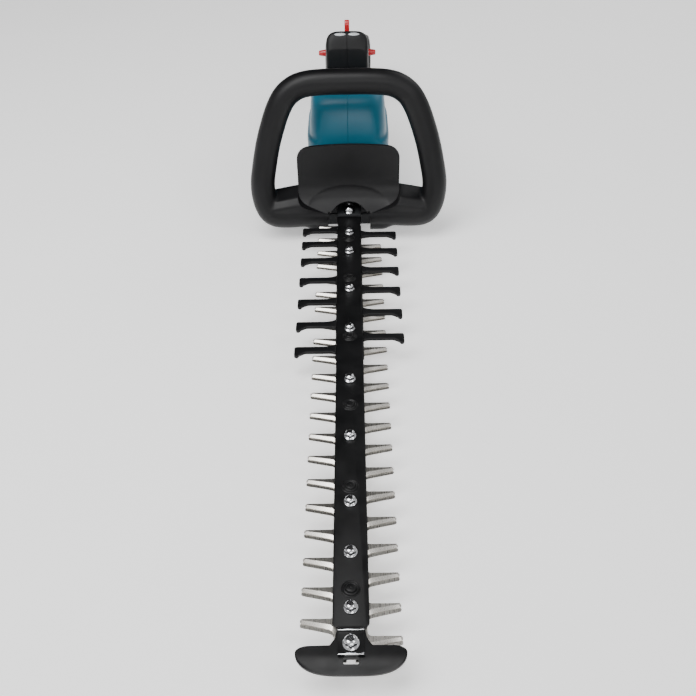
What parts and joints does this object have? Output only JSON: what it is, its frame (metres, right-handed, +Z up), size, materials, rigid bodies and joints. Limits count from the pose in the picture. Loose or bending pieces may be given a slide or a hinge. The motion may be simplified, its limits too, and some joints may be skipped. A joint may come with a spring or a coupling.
{
  "type": "cordless hedge trimmer",
  "caption": "Cordless double-sided hedge trimmer with a long reciprocating blade, loop front handle, chip shield, D-shaped rear handle and slide-off battery.",
  "frame": {"origin": "middle of the underside: halfway along, on the plane of symmetry, at the level that the gear case and the battery rest on", "axes": "-Y along the blade towards its tip, +Y towards the battery, +Z up, X across the blade"},
  "size_m": [0.256, 1.166, 0.2128],
  "materials": {
    "black_nylon": "fine-textured moulded glass-filled nylon",
    "teal_nylon": "satin moulded nylon, teal",
    "red_nylon": "glossy moulded nylon, red",
    "ground_tool_steel": "ground and polished blade steel",
    "black_coated_steel": "black coated pressed steel, satin",
    "zinc_plated_steel": "bright zinc plating",
    "machined_steel": "machined steel, oiled",
    "cast_magnesium": "black painted die-cast magnesium",
    "copper_winding": "enamelled copper windings on a steel core",
    "clear_lens": "clear moulded lens",
    "circuit_board": "potted circuit board"
  },
  "bodies": {
    "body": {"bar_01_bolt": "zinc_plated_steel", "bar_02_bolt": "zinc_plated_steel", "bar_03_bolt": "zinc_plated_steel", "bar_04_bolt": "zinc_plated_steel", "bar_05_bolt": "zinc_plated_steel", "bar_06_bolt": "zinc_plated_steel", "bar_07_bolt": "zinc_plated_steel", "bar_08_bolt": "zinc_plated_steel", "bar_09_bolt": "zinc_plated_steel", "bar_01_nut": "zinc_plated_steel", "bar_02_nut": "zinc_plated_steel", "bar_03_nut": "zinc_plated_steel", "bar_04_nut": "zinc_plated_steel", "bar_05_nut": "zinc_plated_steel", "bar_06_nut": "zinc_plated_steel", "bar_07_nut": "zinc_plated_steel", "bar_08_nut": "zinc_plated_steel", "bar_09_nut": "zinc_plated_steel", "tip_nut": "zinc_plated_steel", "tip_bolt": "zinc_plated_steel", "root_nut_1": "zinc_plated_steel", "root_nut_2": "zinc_plated_steel", "guide_bar": "black_coated_steel", "tip_guard": "black_coated_steel", "tip_bracket": "black_coated_steel", "guard_comb": "black_nylon", "chip_shield": "black_nylon", "front_handle_front": "black_nylon", "front_handle_rear": "black_nylon", "rear_handle_left": "black_nylon", "rear_handle_right": "black_nylon", "switch_body": "black_nylon", "terminal_block": "black_nylon", "motor_housing_left": "teal_nylon", "motor_housing_right": "teal_nylon", "crank_bearing_lower": "machined_steel", "crank_bearing_upper": "machined_steel", "motor_bearing_lower": "machined_steel", "motor_bearing_upper": "machined_steel", "lever_pin": "machined_steel", "trigger_pin": "machined_steel", "gear_case": "cast_magnesium", "gear_case_cover": "cast_magnesium", "stator": "copper_winding", "controller_board": "circuit_board", "indicator_lens_left": "clear_lens", "indicator_lens_right": "clear_lens"},
    "upper_blade": {"upper_blade": "ground_tool_steel"},
    "lower_blade": {"lower_blade": "ground_tool_steel"},
    "motor_rotor": {"motor_shaft": "machined_steel", "rotor": "machined_steel", "cooling_fan": "black_nylon"},
    "crank": {"crank_gear": "machined_steel"},
    "trigger": {"trigger": "black_nylon"},
    "lock_off_lever": {"lock_off_lever": "red_nylon"},
    "reverse_selector": {"reverse_selector": "red_nylon"},
    "front_switch_bar": {"front_switch_bar": "black_nylon"},
    "battery": {"battery_pack": "black_nylon"},
    "battery_release": {"battery_release": "red_nylon"}
  },
  "joints": [
    {"name": "upper_blade_slide", "type": "slide", "parent": "body", "child": "upper_blade", "axis": [0, 1, 0], "range_m": [-0.0089, 0.0056]},
    {"name": "lower_blade_slide", "type": "slide", "parent": "body", "child": "lower_blade", "axis": [0, 1, 0], "range_m": [-0.0056, 0.0089]},
    {"name": "motor_spin", "type": "hinge", "parent": "body", "child": "motor_rotor", "pos_m": [0, 0.17025, 0.106], "axis": [0, 0, 1], "continuous": true},
    {"name": "crank_spin", "type": "hinge", "parent": "body", "child": "crank", "pos_m": [0, 0.139, 0.036], "axis": [0, 0, 1], "continuous": true},
    {"name": "trigger_pull", "type": "hinge", "parent": "body", "child": "trigger", "pos_m": [0, 0.333, 0.142], "axis": [1, 0, 0], "range_deg": [0, 12], "stiffness_Nm_per_rad": 0.5, "springref_deg": -8.59},
    {"name": "lock_off_press", "type": "hinge", "parent": "body", "child": "lock_off_lever", "pos_m": [0, 0.312, 0.172], "axis": [1, 0, 0], "range_deg": [0, 12], "stiffness_Nm_per_rad": 0.4, "springref_deg": -8.59},
    {"name": "reverse_selector_slide", "type": "slide", "parent": "body", "child": "reverse_selector", "axis": [1, 0, 0], "range_m": [-0.004, 0.004]},
    {"name": "front_switch_squeeze", "type": "slide", "parent": "body", "child": "front_switch_bar", "axis": [0, -0.9613, 0.2756], "range_m": [0, 0.0025], "stiffness_N_per_m": 1500, "springref_m": -0.002},
    {"name": "battery_slide_off", "type": "slide", "parent": "body", "child": "battery", "axis": [0, 1, 0], "range_m": [0, 0.08]},
    {"name": "battery_release_press", "type": "slide", "parent": "battery", "child": "battery_release", "axis": [0, -1, 0], "range_m": [0, 0.0025], "stiffness_N_per_m": 1200, "springref_m": -0.002}
  ],
  "couplings": [
    {"joint": "lower_blade_slide", "follows": "upper_blade_slide", "ratio": -1},
    {"joint": "crank_spin", "follows": "motor_spin", "ratio": -0.25}
  ]
}
